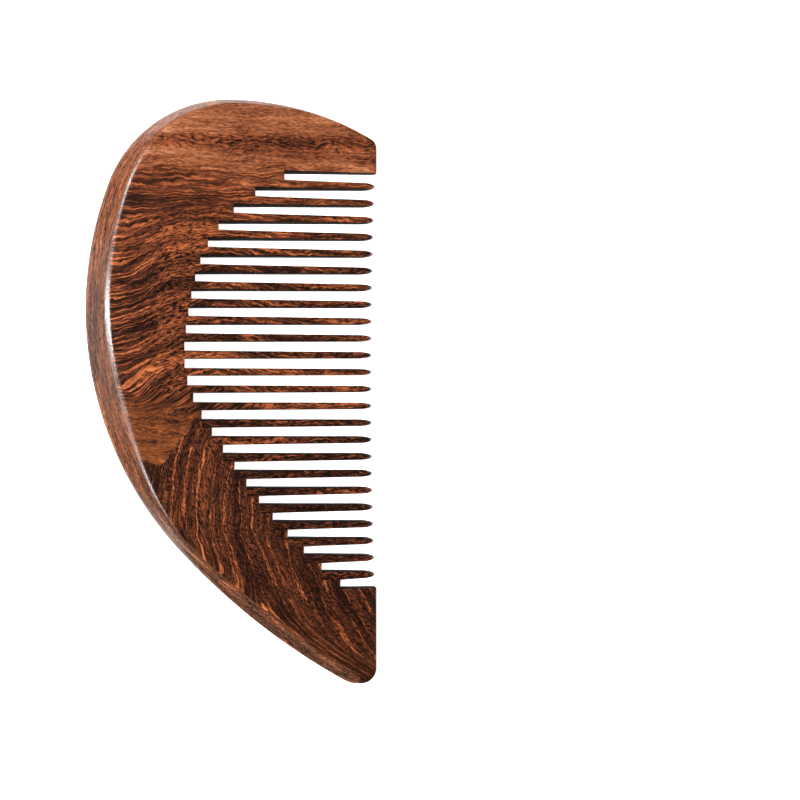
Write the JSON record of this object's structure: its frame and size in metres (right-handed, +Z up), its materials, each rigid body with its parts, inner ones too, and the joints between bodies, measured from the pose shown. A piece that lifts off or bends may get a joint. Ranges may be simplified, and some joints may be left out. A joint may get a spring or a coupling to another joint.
{
  "type": "beard comb",
  "caption": "Flat wooden beard comb with a half-heart outline, a bevelled back, square end guards and a row of rounded inserted teeth.",
  "frame": {"origin": "under the middle of the comb, on the surface that it lies on", "axes": "+Z up, +Y along the back from the pointed end to the round crown, +X from the back to the tooth tips"},
  "size_m": [0.0544, 0.11, 0.0099],
  "materials": {
    "back_wood": "oiled and polished dark hardwood with orange and black figure",
    "tooth_wood": "the same hardwood, grain along the tooth, oiled and polished"
  },
  "bodies": {
    "root": {"comb_back": "back_wood", "tooth_01": "tooth_wood", "tooth_02": "tooth_wood", "tooth_03": "tooth_wood", "tooth_04": "tooth_wood", "tooth_05": "tooth_wood", "tooth_06": "tooth_wood", "tooth_07": "tooth_wood", "tooth_08": "tooth_wood", "tooth_09": "tooth_wood", "tooth_10": "tooth_wood", "tooth_11": "tooth_wood", "tooth_12": "tooth_wood", "tooth_13": "tooth_wood", "tooth_14": "tooth_wood", "tooth_15": "tooth_wood", "tooth_16": "tooth_wood", "tooth_17": "tooth_wood", "tooth_18": "tooth_wood", "tooth_19": "tooth_wood", "tooth_20": "tooth_wood", "tooth_21": "tooth_wood", "tooth_22": "tooth_wood", "tooth_23": "tooth_wood", "tooth_24": "tooth_wood"}
  },
  "joints": []
}
